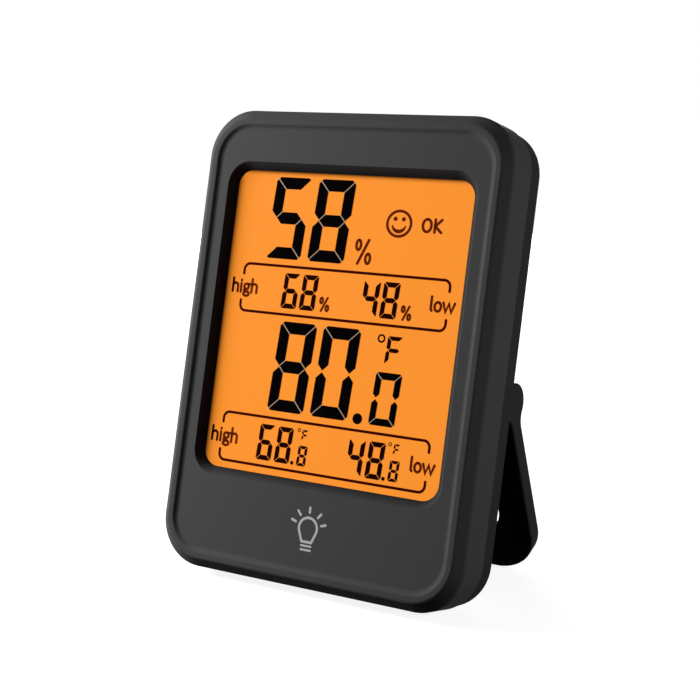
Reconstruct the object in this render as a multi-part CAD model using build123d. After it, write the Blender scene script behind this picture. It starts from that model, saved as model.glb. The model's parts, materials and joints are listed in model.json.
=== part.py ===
from build123d import *
from math import atan2, cos, degrees, radians, sin, sqrt
import os

# Desk temperature and humidity sensor: a flat case with a backlit display, a raised battery
# block on its back, and a U-shaped stand that swings out of the back to prop the case up.
# Everything is drawn upright, with X across, Y from the front rim to the back and Z up, and
# the origin in the middle of the front rim. The finished pieces are then leaned back onto
# the table, where the back cover's heel and the stand's foot touch the ground together.

# Whole object
CASE_WIDTH = 59.0
CASE_HEIGHT = 80.0
TOTAL_DEPTH = 23.0
CASE_CORNER = 8.2

# Front case
BEVEL_WIDTH = 1.6
BEVEL_DEPTH = 1.54
BEVEL_ROUND = 0.9
RIM_CORNER = 7.2
RIM_ROUND = 0.6
RIM_WIDTH = 1.05
DISH_SLOPE = 0.6
DISH_DEPTH = 0.45
DISH_ROUND = 1.0
FACE_WALL = 1.5
FRONT_DEPTH = 8.1
FRONT_WALL = 1.6

# Window opening in the front case, by its distance from the case's sides, top and bottom
WINDOW_SIDE = 6.55
WINDOW_ABOVE = 10.4
WINDOW_BELOW = 17.7
WINDOW_CORNER = 2.9
WINDOW_SLOPE = 1.3

# Back cover
BACK_DEPTH = 12.42
COVER_INSET = 0.3
COVER_WALL = 1.5
COVER_ROUND = 0.5
SHADOW_GAP = 0.45
LIP_LENGTH = 1.6
LIP_WALL = 1.0
LIP_CLEARANCE = 0.1

# Battery block raised on the back cover, by its distance from the case's top and bottom
BLOCK_ABOVE = 15.4
BLOCK_BELOW = 8.8
BLOCK_LEG_GAP = 0.6
BLOCK_CORNER = 4.0
BLOCK_ROUND = 1.6
BLOCK_WALL = 1.5

# Battery cells side by side with their ends up and down, and the tray that they fill
CELL_NUB_RADIUS = 1.9
CELL_NUB_LENGTH = 1.0
CELL_ROUND = 0.35
CELL_CLEARANCE = 0.35
TRAY_ABOVE = 3.6
TRAY_BELOW = 3.2
TRAY_WALL = 1.5
TRAY_FLOOR = 1.0
TRAY_BOARD_GAP = 0.7

# Battery contacts
CONTACT_SHEET = 0.3
CONTACT_SIDE = 1.25
CONTACT_END = 1.05
LEAF_WIDTH = 4.0
LEAF_ROOM = 3.9
LEAF_GAP = 0.05
TAIL_WIDTH = 2.0
TAIL_CLEARANCE = 0.2

# Battery door
DOOR_SIDE = 0.5
DOOR_ABOVE = 0.7
DOOR_CORNER = 1.5
DOOR_GAP = 0.3
DOOR_SEAT_GAP = 0.2
DOOR_TRAVEL = 5.0
TONGUE_LENGTH = 5.0
TONGUE_REACH = 1.0
TONGUE_THICKNESS = 0.5
TONGUE_FROM_TOP = 8.7
TONGUE_FROM_FOOT = 12.2
TONGUE_CLEARANCE = 0.25
GRIP_WIDTH = 11.0
GRIP_HEIGHT = 0.8
GRIP_PITCH = 1.9
GRIP_SINK = 0.5
GRIP_COUNT = 4
GRIP_FROM_TOP = 6.2

# Folding stand, by its distance from the case's sides and bottom when folded
STAND_SIDE = 1.4
STAND_BELOW = 0.35
STAND_CORNER = 8.1
STAND_OPEN_ANGLE = 36.0
LEG_WIDTH = 5.7
LEG_FRONT = 2.3
LEG_BACK = 0.8
CROSSBAR_HEIGHT = 6.4
CROSSBAR_FILLET = 6.5
CHANNEL_DEPTH = 2.0
CHANNEL_DROP = 2.0
CHANNEL_INNER_RIM = 1.25
CHANNEL_OUTER_RIM = 0.5
BARREL_RADIUS = 3.4
BARREL_GAP = 0.4
HINGE_DROP = 5.0
STAND_ROUND = 0.35
NECK_ROUND = 3.0
PIN_RADIUS = 1.6
PIN_REACH = 3.0
PIN_CLEARANCE = 0.05
BEARING_RADIUS = 3.2
BEARING_LENGTH = 2.8
HEEL_CUT = 0.35
FOOT_CUT = 0.2

# Stack behind the window, from the front
TAPE_THICKNESS = 0.1
LENS_THICKNESS = 0.5
LENS_BORDER = 1.1
LENS_CORNER = 3.0
STACK_GAP = 0.1
POLARISER_THICKNESS = 0.2
GLASS_THICKNESS = 0.7
DIFFUSER_THICKNESS = 0.2
GUIDE_THICKNESS = 1.8
REFLECTOR_THICKNESS = 0.15
GLASS_MARGIN = 1.2
GLASS_LEDGE = 2.2
POLARISER_INSET = 0.6
GUIDE_SHORTFALL = 1.0

# Display holder
HOLDER_WALL = 1.0
HOLDER_SIDE_GAP = 1.8
HOLDER_CLEARANCE = 0.1
HOLDER_FLOOR = 0.8

# Connector strips and lamps
STRIP_INSET = 4.0
STRIP_WIDTH = 1.4
LAMP_WIDTH = 3.0
LAMP_HEIGHT = 1.2
LAMP_PITCH = 12.0
LAMP_TALL = 2.5

# Circuit board, by its distance from the case's sides, bottom and top
BOARD_THICKNESS = 1.2
BOARD_SIDE = 4.0
BOARD_BELOW = 8.8
BOARD_ABOVE = 3.2
SHOULDER_ABOVE = 9.0
NECK_PILLAR_GAP = 0.2
BOARD_CORNER = 1.0

# Screws, by their distance from the edges of the case and the board, and their bosses
CASE_SCREW_SIDE = 8.0
CASE_SCREW_END = 5.7
BOARD_SCREW_SIDE = 6.5
BOARD_SCREW_FOOT = 2.0
BOARD_SCREW_TOP = 2.4
BOARD_SCREW_NECK_X = 10.5
SCREW_RADIUS = 1.0
SCREW_CLEARANCE = 0.05
HEAD_RADIUS = 1.9
HEAD_HEIGHT = 1.2
HEAD_SINK = 0.7
HEAD_ROUND = 0.4
WELL_CLEARANCE = 0.2
CROSS_WIDTH = 0.5
CROSS_DEPTH = 0.6
CASE_SCREW_LENGTH = 7.0
BOARD_SCREW_LENGTH = 4.0
CASE_BOSS_RADIUS = 2.1
BOARD_BOSS_RADIUS = 1.9
BOSS_JOINT_GAP = 0.1
PILLAR_RADIUS = 2.8

# Rear buttons and their switches
BUTTON_X = 7.0
BUTTON_ABOVE = 11.4
BUTTON_RADIUS = 2.6
BUTTON_CLEARANCE = 0.25
BUTTON_PROUD = 0.6
BUTTON_ROUND = 0.4
BUTTON_TRAVEL = 0.3
FLANGE_RADIUS = 3.5
FLANGE_THICKNESS = 0.6
SWITCH_SIZE = 5.2
SWITCH_HEIGHT = 1.0
STEM_RADIUS = 1.2
STEM_CLEARANCE = 0.1
STEM_DEPTH = 0.4

# Parts on the board
CHIP_RADIUS = 4.6
CHIP_HEIGHT = 0.7
CHIP_ABOVE = 19.0
CRYSTAL_SIZE = (6.0, 1.1, 2.2)
CRYSTAL_PITCH = 9.0
CRYSTAL_ROUND = 0.7
CAPACITOR_SIZE = (2.0, 1.0, 1.25)
CAPACITOR_PITCH = 3.4
CAPACITOR_ABOVE = 25.0
CAPACITOR_COUNT = 4
SENSOR_BUTTON_GAP = 2.8
SENSOR_ABOVE = 11.8
SENSOR_SIZE = (6.4, 0.6, 4.4)
SENSOR_STAND = 0.7
SENSOR_LEG_RADIUS = 0.25
SENSOR_LEG_SPREAD = 2.2
BEAD_RADIUS = 0.85
BEAD_STAND = 0.25
BEAD_LEG_SPREAD = 1.0
TOUCH_X = 0.65
TOUCH_BELOW = 9.9
TOUCH_RADIUS = 3.1
TOUCH_SHEET = 0.1
TOUCH_STRIP_WIDTH = 2.4
TOUCH_STRIP_SHEET = 0.25
TOUCH_STRIP_LENGTH = 3.2

# Openings in the back
VENT_COUNT = 5
VENT_LENGTH = 7.0
VENT_HEIGHT = 0.8
VENT_PITCH = 1.6
HANG_RADIUS = 2.5
HANG_DEPTH = 2.4
HANG_WALL = 0.8
HANG_ABOVE = 6.0

# How far a cutting shape runs past what it cuts, and how near two places count as one
OVERRUN = 1.0
NEAR = 0.02

# Places that follow from the sizes above: depths through the case, from its front rim
FACE = DISH_DEPTH
INNER_FACE = FACE + FACE_WALL
TAPE_BACK = INNER_FACE + TAPE_THICKNESS
LENS_BACK = TAPE_BACK + LENS_THICKNESS
FRONT_POLARISER = LENS_BACK + STACK_GAP
FRONT_GLASS = FRONT_POLARISER + POLARISER_THICKNESS
REAR_GLASS = FRONT_GLASS + GLASS_THICKNESS
REAR_POLARISER = REAR_GLASS + GLASS_THICKNESS
DIFFUSER = REAR_POLARISER + POLARISER_THICKNESS
GUIDE = DIFFUSER + DIFFUSER_THICKNESS
REFLECTOR = GUIDE + GUIDE_THICKNESS
HOLDER_BACK = REFLECTOR + REFLECTOR_THICKNESS + HOLDER_FLOOR
BOARD_FRONT = HOLDER_BACK
BOARD_BACK = BOARD_FRONT + BOARD_THICKNESS
COVER_INSIDE = BACK_DEPTH - COVER_WALL
COVER_FRONT = FRONT_DEPTH + SHADOW_GAP
SCREW_SEAT = BACK_DEPTH - HEAD_SINK - HEAD_HEIGHT
DOOR_INSIDE = TOTAL_DEPTH - BLOCK_WALL
FLOOR_FRONT = BOARD_BACK + TRAY_BOARD_GAP
FLOOR_BACK = FLOOR_FRONT + TRAY_FLOOR
CELL_RADIUS = (DOOR_INSIDE - FLOOR_BACK) / 2 - CELL_CLEARANCE
CELL_Y = DOOR_INSIDE - CELL_CLEARANCE - CELL_RADIUS
CELL_X = CELL_RADIUS + CELL_CLEARANCE
HINGE_Y = BACK_DEPTH + BARREL_GAP + BARREL_RADIUS
HINGE_Z = -HINGE_DROP

# Display and board, inside the case's outline
HALF_WIDTH = CASE_WIDTH / 2
HALF_HEIGHT = CASE_HEIGHT / 2
WINDOW_WIDTH = CASE_WIDTH - 2 * WINDOW_SIDE
WINDOW_HEIGHT = CASE_HEIGHT - WINDOW_ABOVE - WINDOW_BELOW
WINDOW_RISE = (WINDOW_BELOW - WINDOW_ABOVE) / 2
GLASS_WIDTH = CASE_WIDTH - 2 * (FRONT_WALL + HOLDER_SIDE_GAP + HOLDER_WALL + HOLDER_CLEARANCE)
GLASS_TOP = WINDOW_RISE + WINDOW_HEIGHT / 2 + GLASS_MARGIN
GLASS_BOTTOM = WINDOW_RISE - WINDOW_HEIGHT / 2 - GLASS_MARGIN - GLASS_LEDGE
STRIP_LENGTH = GLASS_WIDTH - 2 * STRIP_INSET
BOARD_WIDTH = CASE_WIDTH - 2 * BOARD_SIDE
BOARD_BOTTOM = HALF_HEIGHT - BOARD_BELOW
BOARD_TOP = HALF_HEIGHT - BOARD_ABOVE
BOARD_SHOULDER = HALF_HEIGHT - SHOULDER_ABOVE
CASE_SCREW_X = HALF_WIDTH - CASE_SCREW_SIDE
CASE_SCREW_Z = HALF_HEIGHT - CASE_SCREW_END
BOARD_NECK_WIDTH = 2 * (CASE_SCREW_X - PILLAR_RADIUS - NECK_PILLAR_GAP)
BOARD_SCREW_X = BOARD_WIDTH / 2 - BOARD_SCREW_SIDE
BOARD_SCREW_DROP = BOARD_BOTTOM - BOARD_SCREW_FOOT
BOARD_SCREW_RISE = BOARD_TOP - BOARD_SCREW_TOP
BUTTON_Z = HALF_HEIGHT - BUTTON_ABOVE
SENSOR_X = BUTTON_X + FLANGE_RADIUS + SENSOR_BUTTON_GAP + SENSOR_SIZE[0] / 2
SENSOR_Z = HALF_HEIGHT - SENSOR_ABOVE
HANG_Z = HALF_HEIGHT - HANG_ABOVE
TOUCH_DROP = HALF_HEIGHT - TOUCH_BELOW

# Stand, and the battery block between its legs with its tray, cells and door
STAND_WIDTH = CASE_WIDTH - 2 * STAND_SIDE
STAND_LENGTH = HALF_HEIGHT - HINGE_DROP - STAND_BELOW
BLOCK_WIDTH = STAND_WIDTH - 2 * (LEG_WIDTH + BLOCK_LEG_GAP)
BLOCK_TOP = HALF_HEIGHT - BLOCK_ABOVE
BLOCK_BOTTOM = HALF_HEIGHT - BLOCK_BELOW
TRAY_TOP = BLOCK_TOP - TRAY_ABOVE
TRAY_BOTTOM = BLOCK_BOTTOM - TRAY_BELOW
TRAY_HALF = CELL_X + CELL_RADIUS + CELL_CLEARANCE
CELL_LENGTH = TRAY_TOP + TRAY_BOTTOM - 2 * CONTACT_SHEET - CELL_NUB_LENGTH - LEAF_ROOM
CONTACT_WIDTH = 2 * (CELL_RADIUS - CONTACT_SIDE)
CONTACT_HEIGHT = 2 * (CELL_RADIUS - CONTACT_END)
DOOR_WIDTH = 2 * (TRAY_HALF + TRAY_WALL + DOOR_SIDE)
DOOR_TOP = TRAY_TOP + DOOR_ABOVE
TONGUE_HIGH = DOOR_TOP - TONGUE_FROM_TOP
TONGUE_LOW = TONGUE_FROM_FOOT - BLOCK_BOTTOM
GRIP_Z = DOOR_TOP - GRIP_FROM_TOP

# Parts beside the tray, in the middle between it and the board's side
BESIDE_TRAY = (TRAY_HALF + TRAY_WALL + BOARD_WIDTH / 2) / 2
CHIP_Z = BOARD_SHOULDER - CHIP_ABOVE
CRYSTAL_Z = CHIP_Z - CRYSTAL_PITCH
CAPACITOR_Z = BOARD_SHOULDER - CAPACITOR_ABOVE

# The lean: one ground line cuts the cover's heel and the front edge of the stand's foot
OPEN = radians(STAND_OPEN_ANGLE)
FOOT_Y = HINGE_Y + STAND_LENGTH * sin(OPEN) - LEG_FRONT * cos(OPEN)
FOOT_Z = HINGE_Z - STAND_LENGTH * cos(OPEN) - LEG_FRONT * sin(OPEN) + FOOT_CUT
HEEL_Y = BACK_DEPTH
HEEL_Z = COVER_INSET - HALF_HEIGHT + HEEL_CUT
LEAN = atan2(FOOT_Z - HEEL_Z, FOOT_Y - HEEL_Y)


def outline(width, height, corner, depth, x=0, z=0):
    """Rounded rectangle across the case at one depth, facing the back."""
    across = Plane(origin=(x, depth, z), x_dir=(1, 0, 0), z_dir=(0, 1, 0))
    return across * RectangleRounded(width, height, corner)


def inset_outline(inset, depth):
    """Outline of the case drawn in by one inset all round."""
    return outline(CASE_WIDTH - 2 * inset, CASE_HEIGHT - 2 * inset, CASE_CORNER - inset, depth)


def rim_outline(inset, depth):
    """Outline of the front rim drawn in by one inset all round."""
    width = CASE_WIDTH - 2 * (BEVEL_WIDTH + inset)
    height = CASE_HEIGHT - 2 * (BEVEL_WIDTH + inset)
    return outline(width, height, RIM_CORNER - inset, depth)


def window_outline(border, depth):
    """Outline of the window opening widened by one border all round."""
    width = WINDOW_WIDTH + 2 * border
    height = WINDOW_HEIGHT + 2 * border
    return outline(width, height, WINDOW_CORNER + border, depth, z=WINDOW_RISE)


def slab(width, height, corner, front, back, x=0, z=0):
    """Rounded slab between two depths."""
    return extrude(outline(width, height, corner, front, x, z), amount=back - front)


def groove(length, height, front, back, x, z):
    """Slot across the case with round ends."""
    half = (length - height) / 2
    cut = block((x - half, front, z - height / 2), (x + half, back, z + height / 2))
    for side in (-1, 1):
        cut += rod(height / 2, front, back, x + side * half, z)
    return cut


def block(low, high):
    """Plain block between two corners."""
    size = Vector(*high) - Vector(*low)
    middle = (Vector(*high) + Vector(*low)) / 2
    return Pos(middle) * Box(size.X, size.Y, size.Z)


def rod(radius, front, back, x=0, z=0):
    """Round rod along the depth."""
    middle = (front + back) / 2
    return Pos(x, middle, z) * Rot(-90, 0, 0) * Cylinder(radius, back - front)


def cross_rod(radius, left, right, y, z):
    """Round rod across the case."""
    return Pos((left + right) / 2, y, z) * Rot(0, 90, 0) * Cylinder(radius, right - left)


def edges_at(shape, depth):
    """Edges that lie wholly at one depth."""
    return shape.edges().filter_by_position(Axis.Y, depth - NEAR, depth + NEAR)


def four_places(x, z):
    """The four mirrored places of a corner screw."""
    return [(sx * x, sz * z) for sx in (-1, 1) for sz in (-1, 1)]


CASE_SCREW_PLACES = four_places(CASE_SCREW_X, CASE_SCREW_Z)
BOARD_SCREW_PLACES = [
    (-BOARD_SCREW_X, -BOARD_SCREW_DROP),
    (BOARD_SCREW_X, -BOARD_SCREW_DROP),
    (-BOARD_SCREW_NECK_X, BOARD_SCREW_RISE),
    (BOARD_SCREW_NECK_X, BOARD_SCREW_RISE),
]


def front_case():
    """Bevelled front shell with its raised rim, dished face, window and screw bosses."""
    rim = rim_outline(0, 0)
    shoulder = inset_outline(0, BEVEL_DEPTH)
    shell = loft([rim, shoulder], ruled=True)
    shell += slab(CASE_WIDTH, CASE_HEIGHT, CASE_CORNER, BEVEL_DEPTH, FRONT_DEPTH)
    shell = fillet(edges_at(shell, BEVEL_DEPTH), BEVEL_ROUND)

    dish = loft([rim_outline(RIM_WIDTH, 0), rim_outline(RIM_WIDTH + DISH_SLOPE, FACE)], ruled=True)
    shell -= fillet(edges_at(dish, FACE), DISH_ROUND)
    shell = fillet(edges_at(shell, 0), RIM_ROUND)
    shell -= loft([window_outline(WINDOW_SLOPE, FACE), window_outline(0, INNER_FACE)], ruled=True)

    shell -= extrude(inset_outline(FRONT_WALL, INNER_FACE), amount=FRONT_DEPTH)
    for x, z in CASE_SCREW_PLACES:
        shell += rod(CASE_BOSS_RADIUS, FACE + FACE_WALL / 2, FRONT_DEPTH, x, z)
        shell -= rod(SCREW_RADIUS + SCREW_CLEARANCE, INNER_FACE, FRONT_DEPTH + OVERRUN, x, z)
    for x, z in BOARD_SCREW_PLACES:
        shell += rod(BOARD_BOSS_RADIUS, FACE + FACE_WALL / 2, BOARD_FRONT, x, z)
        shell -= rod(SCREW_RADIUS + SCREW_CLEARANCE, INNER_FACE, BOARD_FRONT + OVERRUN, x, z)
    return shell


def block_form():
    """Outer form of the battery block, with its rear edges rounded."""
    height = BLOCK_TOP + BLOCK_BOTTOM
    middle = (BLOCK_TOP - BLOCK_BOTTOM) / 2
    form = slab(BLOCK_WIDTH, height, BLOCK_CORNER, BACK_DEPTH - COVER_WALL / 2, TOTAL_DEPTH, z=middle)
    return fillet(edges_at(form, TOTAL_DEPTH), BLOCK_ROUND)


def door_region(gap, front):
    """Space of the battery door, widened by a gap and open at the block's lower end."""
    height = DOOR_TOP + BLOCK_BOTTOM + 2 * OVERRUN + gap
    middle = DOOR_TOP + gap - height / 2
    return slab(DOOR_WIDTH + 2 * gap, height, DOOR_CORNER + gap, front, TOTAL_DEPTH + OVERRUN, z=middle)


def cover_shell():
    """Back cover's plate, lip and hollow battery block, before anything is cut for other pieces."""
    shell = extrude(inset_outline(COVER_INSET, COVER_FRONT), amount=BACK_DEPTH - COVER_FRONT)
    shell = fillet(edges_at(shell, BACK_DEPTH), COVER_ROUND)
    lip = FRONT_WALL + LIP_CLEARANCE
    lip_front = FRONT_DEPTH - LIP_LENGTH
    shell += extrude(inset_outline(lip, lip_front), amount=COVER_INSIDE - lip_front)
    shell -= extrude(inset_outline(lip + LIP_WALL, lip_front), amount=COVER_INSIDE - lip_front)
    shell += block_form()
    shell -= slab(
        BLOCK_WIDTH - 2 * BLOCK_WALL,
        BLOCK_TOP + BLOCK_BOTTOM - 2 * BLOCK_WALL,
        BLOCK_CORNER - BLOCK_WALL,
        COVER_INSIDE - COVER_WALL,
        DOOR_INSIDE,
        z=(BLOCK_TOP - BLOCK_BOTTOM) / 2,
    )
    return shell


def battery_tray():
    """Open box inside the battery block that holds the cells and their contacts."""
    outer = TRAY_HALF + TRAY_WALL
    tray = block(
        (-outer, FLOOR_FRONT, BLOCK_WALL / 2 - BLOCK_BOTTOM),
        (outer, DOOR_INSIDE - DOOR_SEAT_GAP, BLOCK_TOP - BLOCK_WALL / 2),
    )
    tray -= block(
        (-TRAY_HALF, FLOOR_BACK, -TRAY_BOTTOM),
        (TRAY_HALF, TOTAL_DEPTH, TRAY_TOP),
    )
    return tray


def contact_slot(x):
    """Slot in the tray floor for the tail of a contact at the tray's upper end."""
    half = TAIL_WIDTH / 2 + TAIL_CLEARANCE
    depth = CONTACT_SHEET + TAIL_CLEARANCE
    low = (x - half, FLOOR_FRONT - OVERRUN, TRAY_TOP - depth)
    return block(low, (x + half, FLOOR_BACK + OVERRUN, TRAY_TOP))


def tongue_places():
    """Middles of the door's four side tongues."""
    return [(side, z) for side in (-1, 1) for z in (TONGUE_HIGH, TONGUE_LOW)]


def door_tongue(side, z, gap=0, slide=0, back=DOOR_INSIDE + TONGUE_THICKNESS):
    """One side tongue of the door, or with a gap and a slide the room that it needs in the block."""
    edge = DOOR_WIDTH / 2
    reach = edge + TONGUE_REACH + gap
    half = TONGUE_LENGTH / 2 + gap
    ends = sorted((side * (edge - TONGUE_REACH), side * reach))
    return block((ends[0], DOOR_INSIDE - gap, z - half - slide), (ends[1], back + gap, z + half))


def back_cover():
    """Rear shell with the battery block, tray, screw wells, vents, button holes and hanging socket."""
    cover = cover_shell() + battery_tray()
    cover -= door_region(DOOR_GAP, DOOR_INSIDE - DOOR_SEAT_GAP)
    for side, z in tongue_places():
        cover -= door_tongue(side, z, TONGUE_CLEARANCE, DOOR_TRAVEL)
        cover -= door_tongue(side, z - DOOR_TRAVEL, TONGUE_CLEARANCE, 0, TOTAL_DEPTH)
    for x in (-CELL_X, CELL_X):
        cover -= contact_slot(x)

    for side in (-1, 1):
        wall = BLOCK_WIDTH / 2
        ends = sorted((side * (wall - BEARING_LENGTH), side * (wall - BLOCK_WALL / 2)))
        cover += cross_rod(BEARING_RADIUS, ends[0], ends[1], HINGE_Y, HINGE_Z)
        ends = sorted((side * (wall - BEARING_LENGTH - OVERRUN), side * (wall + OVERRUN)))
        cover -= cross_rod(PIN_RADIUS + PIN_CLEARANCE, ends[0], ends[1], HINGE_Y, HINGE_Z)

    for x, z in CASE_SCREW_PLACES:
        cover += rod(PILLAR_RADIUS, FRONT_DEPTH + BOSS_JOINT_GAP, COVER_INSIDE + COVER_WALL / 2, x, z)
        cover -= rod(HEAD_RADIUS + WELL_CLEARANCE, SCREW_SEAT, BACK_DEPTH + OVERRUN, x, z)
        cover -= rod(SCREW_RADIUS + WELL_CLEARANCE, FRONT_DEPTH, SCREW_SEAT + OVERRUN, x, z)

    socket = BACK_DEPTH - HANG_DEPTH
    cover += rod(HANG_RADIUS + HANG_WALL, socket - HANG_WALL, COVER_INSIDE + COVER_WALL / 2, z=HANG_Z)
    cover -= rod(HANG_RADIUS, socket, BACK_DEPTH + OVERRUN, z=HANG_Z)

    for x in (-BUTTON_X, BUTTON_X):
        hole = BUTTON_RADIUS + BUTTON_CLEARANCE
        cover -= rod(hole, COVER_INSIDE - OVERRUN, BACK_DEPTH + OVERRUN, x, BUTTON_Z)
    for x in (-SENSOR_X, SENSOR_X):
        for row in range(VENT_COUNT):
            z = SENSOR_Z + (row - (VENT_COUNT - 1) / 2) * VENT_PITCH
            cover -= groove(VENT_LENGTH, VENT_HEIGHT, COVER_INSIDE - OVERRUN, BACK_DEPTH + OVERRUN, x, z)
    return cover


def battery_door():
    """Sliding door flush with the block, with side tongues and grip grooves."""
    door = block_form() & door_region(0, DOOR_INSIDE)
    for side, z in tongue_places():
        door += door_tongue(side, z)
    for row in range(GRIP_COUNT):
        z = GRIP_Z - row * GRIP_PITCH
        door -= groove(GRIP_WIDTH, GRIP_HEIGHT, TOTAL_DEPTH - GRIP_SINK, TOTAL_DEPTH + OVERRUN, 0, z)
    return door


def stand_frame():
    """U-shaped frame of the stand with its round knuckles, necks and softened edges, hanging straight."""
    front = HINGE_Y - LEG_FRONT
    back = HINGE_Y + LEG_BACK
    outer = STAND_WIDTH / 2
    inner = outer - LEG_WIDTH
    gap_depth = STAND_LENGTH - CROSSBAR_HEIGHT
    frame = slab(STAND_WIDTH, 2 * STAND_LENGTH, STAND_CORNER, front, back, z=HINGE_Z)
    frame -= slab(2 * inner, 2 * gap_depth, CROSSBAR_FILLET, front - OVERRUN, back + OVERRUN, z=HINGE_Z)
    frame -= block(
        (-STAND_WIDTH, front - OVERRUN, HINGE_Z),
        (STAND_WIDTH, back + OVERRUN, HINGE_Z + 2 * STAND_LENGTH),
    )
    for side in (-1, 1):
        ends = sorted((side * inner, side * outer))
        frame += cross_rod(BARREL_RADIUS, ends[0], ends[1], HINGE_Y, HINGE_Z)
    necks = [HINGE_Z - sqrt(BARREL_RADIUS**2 - face**2) for face in (LEG_FRONT, LEG_BACK)]
    across = frame.edges().filter_by(Axis.X)
    creases = [edge for edge in across if min(abs(edge.center().Z - neck) for neck in necks) < NEAR]
    frame = fillet(creases, NECK_ROUND)
    borders = edges_at(frame, front) + edges_at(frame, back)
    for side in (-1, 1):
        borders += frame.edges().filter_by_position(Axis.X, side * outer - NEAR, side * outer + NEAR)
    return fillet(list(set(borders)), STAND_ROUND)


def stand():
    """Stand with its channels and hinge pins, turned out to its open place."""
    front = HINGE_Y - LEG_FRONT
    outer = STAND_WIDTH / 2
    inner = outer - LEG_WIDTH
    frame = stand_frame()
    for side in (-1, 1):
        walls = sorted((side * (inner + CHANNEL_INNER_RIM), side * (outer - CHANNEL_OUTER_RIM)))
        frame -= block(
            (walls[0], front - OVERRUN, HINGE_Z - STAND_LENGTH + CROSSBAR_HEIGHT),
            (walls[1], front + CHANNEL_DEPTH, HINGE_Z - CHANNEL_DROP),
        )
        ends = sorted((side * (inner - PIN_REACH), side * (inner + LEG_WIDTH / 2)))
        frame += cross_rod(PIN_RADIUS, ends[0], ends[1], HINGE_Y, HINGE_Z)
    hinge = Axis((0, HINGE_Y, HINGE_Z), (1, 0, 0))
    return frame.rotate(hinge, STAND_OPEN_ANGLE)


def window_sheet(border, corner, front, thickness):
    """Sheet over the window that overlaps the opening by a border all round."""
    width = WINDOW_WIDTH + 2 * border
    height = WINDOW_HEIGHT + 2 * border
    return slab(width, height, corner, front, front + thickness, z=WINDOW_RISE)


def lens_tape():
    """Double-sided tape frame that holds the lens behind the window."""
    tape = window_sheet(LENS_BORDER, LENS_CORNER, INNER_FACE, TAPE_THICKNESS)
    return tape - window_sheet(LENS_BORDER / 4, WINDOW_CORNER, INNER_FACE - OVERRUN, 3 * OVERRUN)


def window_lens():
    """Clear window lens."""
    return window_sheet(LENS_BORDER, LENS_CORNER, TAPE_BACK, LENS_THICKNESS)


def stack_sheet(top, bottom, front, thickness, inset=0):
    """Flat sheet of the display stack between two heights."""
    half = GLASS_WIDTH / 2 - inset
    return block((-half, front, bottom), (half, front + thickness, top))


def display_stack():
    """Polarisers, glasses, diffuser, light guide and reflector, from the front."""
    shelf = GLASS_BOTTOM + GLASS_LEDGE
    inset = POLARISER_INSET
    guide_low = shelf + GUIDE_SHORTFALL
    return {
        "front_polariser": stack_sheet(
            GLASS_TOP - inset, shelf + inset, FRONT_POLARISER, POLARISER_THICKNESS, inset
        ),
        "front_glass": stack_sheet(GLASS_TOP, GLASS_BOTTOM, FRONT_GLASS, GLASS_THICKNESS),
        "rear_glass": stack_sheet(GLASS_TOP, shelf, REAR_GLASS, GLASS_THICKNESS),
        "rear_polariser": stack_sheet(
            GLASS_TOP - inset, shelf + inset, REAR_POLARISER, POLARISER_THICKNESS, inset
        ),
        "light_diffuser": stack_sheet(GLASS_TOP, guide_low, DIFFUSER, DIFFUSER_THICKNESS),
        "light_guide": stack_sheet(GLASS_TOP, guide_low, GUIDE, GUIDE_THICKNESS),
        "light_reflector": stack_sheet(GLASS_TOP, guide_low, REFLECTOR, REFLECTOR_THICKNESS),
    }


def display_holder():
    """Open frame with a floor that holds the display stack against the front case."""
    inner = GLASS_WIDTH / 2 + HOLDER_CLEARANCE
    outer = inner + HOLDER_WALL
    low = GLASS_BOTTOM - HOLDER_CLEARANCE
    high = GLASS_TOP + HOLDER_CLEARANCE
    holder = block(
        (-outer, INNER_FACE, low - HOLDER_WALL),
        (outer, HOLDER_BACK, high + HOLDER_WALL),
    )
    holder -= block((-inner, INNER_FACE - OVERRUN, low), (inner, HOLDER_BACK - HOLDER_FLOOR, high))
    strip_half = STRIP_LENGTH / 2 + HOLDER_WALL
    guide_low = GLASS_BOTTOM + GLASS_LEDGE + GUIDE_SHORTFALL
    holder -= block(
        (-strip_half, HOLDER_BACK - HOLDER_FLOOR - OVERRUN, low),
        (strip_half, HOLDER_BACK + OVERRUN, guide_low),
    )
    return holder


def connector_strip():
    """Rubber strip that joins the display's ledge to the circuit board."""
    middle = GLASS_BOTTOM + GLASS_LEDGE / 2
    return block(
        (-STRIP_LENGTH / 2, REAR_GLASS, middle - STRIP_WIDTH / 2),
        (STRIP_LENGTH / 2, BOARD_FRONT, middle + STRIP_WIDTH / 2),
    )


def backlight_lamps():
    """Side-firing lamps along the lower edge of the light guide."""
    top = GLASS_BOTTOM + GLASS_LEDGE + GUIDE_SHORTFALL - STACK_GAP
    lamps = []
    for place in (-1, 0, 1):
        x = place * LAMP_PITCH
        low = (x - LAMP_WIDTH / 2, BOARD_FRONT - LAMP_TALL, top - LAMP_HEIGHT)
        high = (x + LAMP_WIDTH / 2, BOARD_FRONT, top)
        lamps.append(block(low, high))
    return lamps


def circuit_board():
    """Stepped board with holes for its four screws."""
    height = BOARD_SHOULDER + BOARD_BOTTOM
    middle = (BOARD_SHOULDER - BOARD_BOTTOM) / 2
    board = slab(BOARD_WIDTH, height, BOARD_CORNER, BOARD_FRONT, BOARD_BACK, z=middle)
    height = BOARD_TOP + BOARD_BOTTOM
    middle = (BOARD_TOP - BOARD_BOTTOM) / 2
    board += slab(BOARD_NECK_WIDTH, height, BOARD_CORNER, BOARD_FRONT, BOARD_BACK, z=middle)
    for x, z in BOARD_SCREW_PLACES:
        board -= rod(SCREW_RADIUS + WELL_CLEARANCE, BOARD_FRONT - OVERRUN, BOARD_BACK + OVERRUN, x, z)
    return board


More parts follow.
